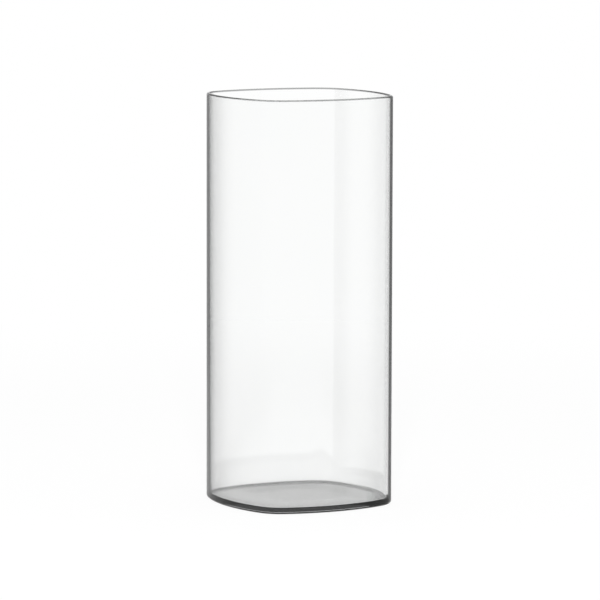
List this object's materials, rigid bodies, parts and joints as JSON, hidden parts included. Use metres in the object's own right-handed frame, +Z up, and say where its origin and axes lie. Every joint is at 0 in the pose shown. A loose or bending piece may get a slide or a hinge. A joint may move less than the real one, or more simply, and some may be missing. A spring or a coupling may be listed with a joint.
{
  "type": "highball glass",
  "caption": "Tall clear drinking glass with a thin straight bowed-square wall, round corners, fire-polished rim and thin flat base, for long drinks.",
  "frame": {"origin": "middle of the underside, on the plane the glass stands on", "axes": "+Z up along the middle axis, +X and +Y square to the flats of the bowed square"},
  "size_m": [0.0582, 0.0582, 0.14],
  "materials": {
    "base_glass": "clear, fire-polished",
    "wall_glass": "clear, fire-polished"
  },
  "bodies": {
    "root": {"base": "base_glass", "wall": "wall_glass"}
  },
  "joints": []
}
